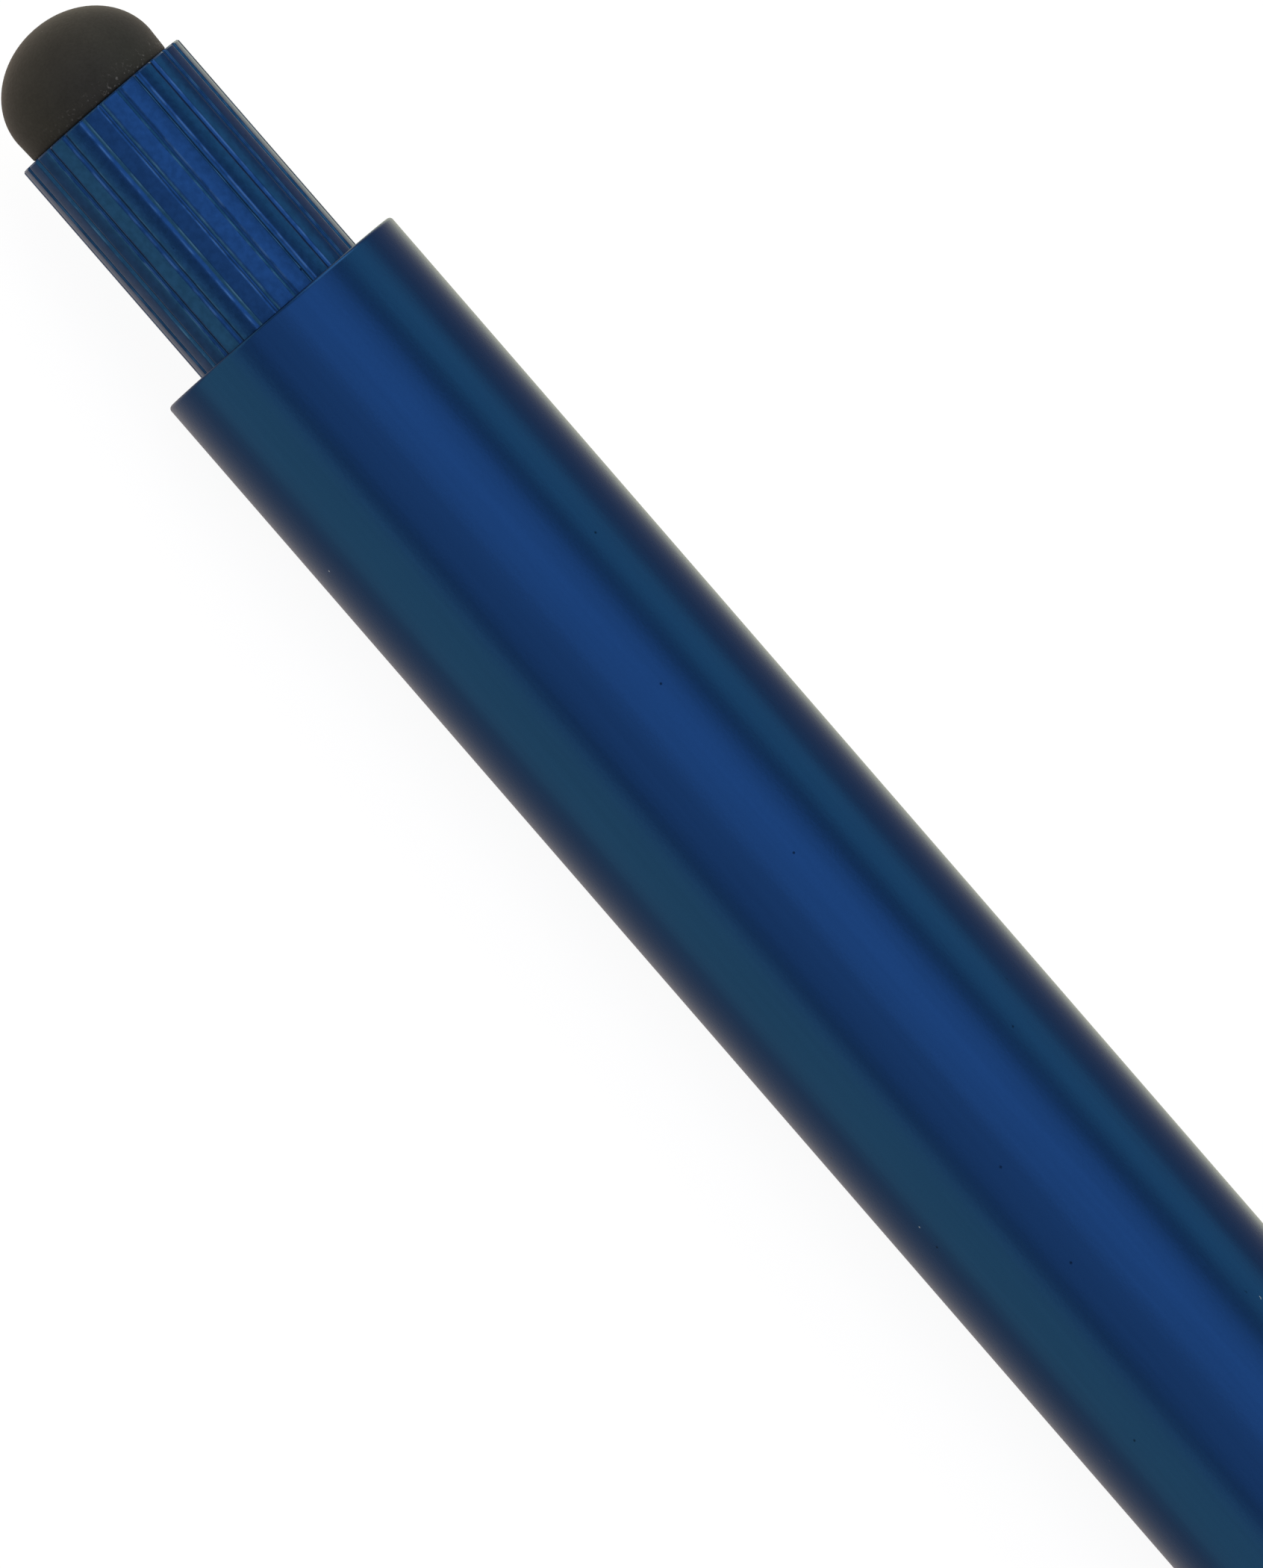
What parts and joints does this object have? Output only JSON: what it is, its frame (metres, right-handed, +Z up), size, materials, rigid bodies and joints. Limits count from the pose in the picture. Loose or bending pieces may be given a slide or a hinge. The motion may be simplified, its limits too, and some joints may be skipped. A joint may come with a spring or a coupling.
{
  "type": "stylus pen",
  "caption": "Slim push-button ballpoint pen with a rubber stylus dome on its fluted plunger, a plain metal barrel, a pocket clip and a tapered nose.",
  "frame": {"origin": "on the table under the middle of the lying pen's bounding box", "axes": "+X along the pen's axis towards the writing end, +Z up from the table; the clip is on the +Y side"},
  "size_m": [0.1404, 0.013, 0.0105],
  "materials": {
    "barrel_anodised": "satin blue anodised",
    "plunger_anodised": "satin blue anodised",
    "nose_anodised": "satin blue anodised",
    "clip_coated": "satin blue coated spring steel",
    "stylus_rubber": "matt conductive rubber",
    "plug_plastic": "moulded black plastic",
    "cam_plastic": "moulded white acetal",
    "rotor_plastic": "moulded black acetal",
    "sleeve_plastic": "moulded white acetal",
    "bush_brass": "turned brass",
    "spring_steel": "drawn spring wire",
    "refill_plastic": "extruded translucent plastic",
    "tip_brass": "turned brass",
    "ball_carbide": "polished carbide",
    "ink_blue": "blue ink",
    "follower_grease": "clear grease"
  },
  "bodies": {
    "barrel_body": {"barrel": "barrel_anodised", "cam_sleeve": "sleeve_plastic", "front_bush": "bush_brass", "nose_cone": "nose_anodised", "return_spring": "spring_steel"},
    "push_button": {"plunger": "plunger_anodised", "stylus_tip": "stylus_rubber", "stylus_plug": "plug_plastic", "thrust_cam": "cam_plastic"},
    "refill_unit": {"refill_tube": "refill_plastic", "refill_tip": "tip_brass", "writing_ball": "ball_carbide", "ink_column": "ink_blue", "ink_follower": "follower_grease", "rotor_cam": "rotor_plastic"},
    "clip_arm": {"clip": "clip_coated"}
  },
  "joints": [
    {"name": "plunger_press", "type": "slide", "parent": "barrel_body", "child": "push_button", "axis": [1, 0, 0], "range_m": [0, 0.006], "stiffness_N_per_m": 300, "springref_m": -0.007, "deforming": ["return_spring"]},
    {"name": "refill_slide", "type": "slide", "parent": "barrel_body", "child": "refill_unit", "axis": [1, 0, 0], "range_m": [0, 0.006], "deforming": ["return_spring"]},
    {"name": "clip_flex", "type": "hinge", "parent": "barrel_body", "child": "clip_arm", "pos_m": [-0.04571, 0.00329, 0.00326], "axis": [0, 0.403, 0.9152], "range_deg": [0, 3.5], "stiffness_Nm_per_rad": 3.2}
  ],
  "couplings": [
    {"joint": "refill_slide", "follows": "plunger_press", "ratio": 1}
  ]
}
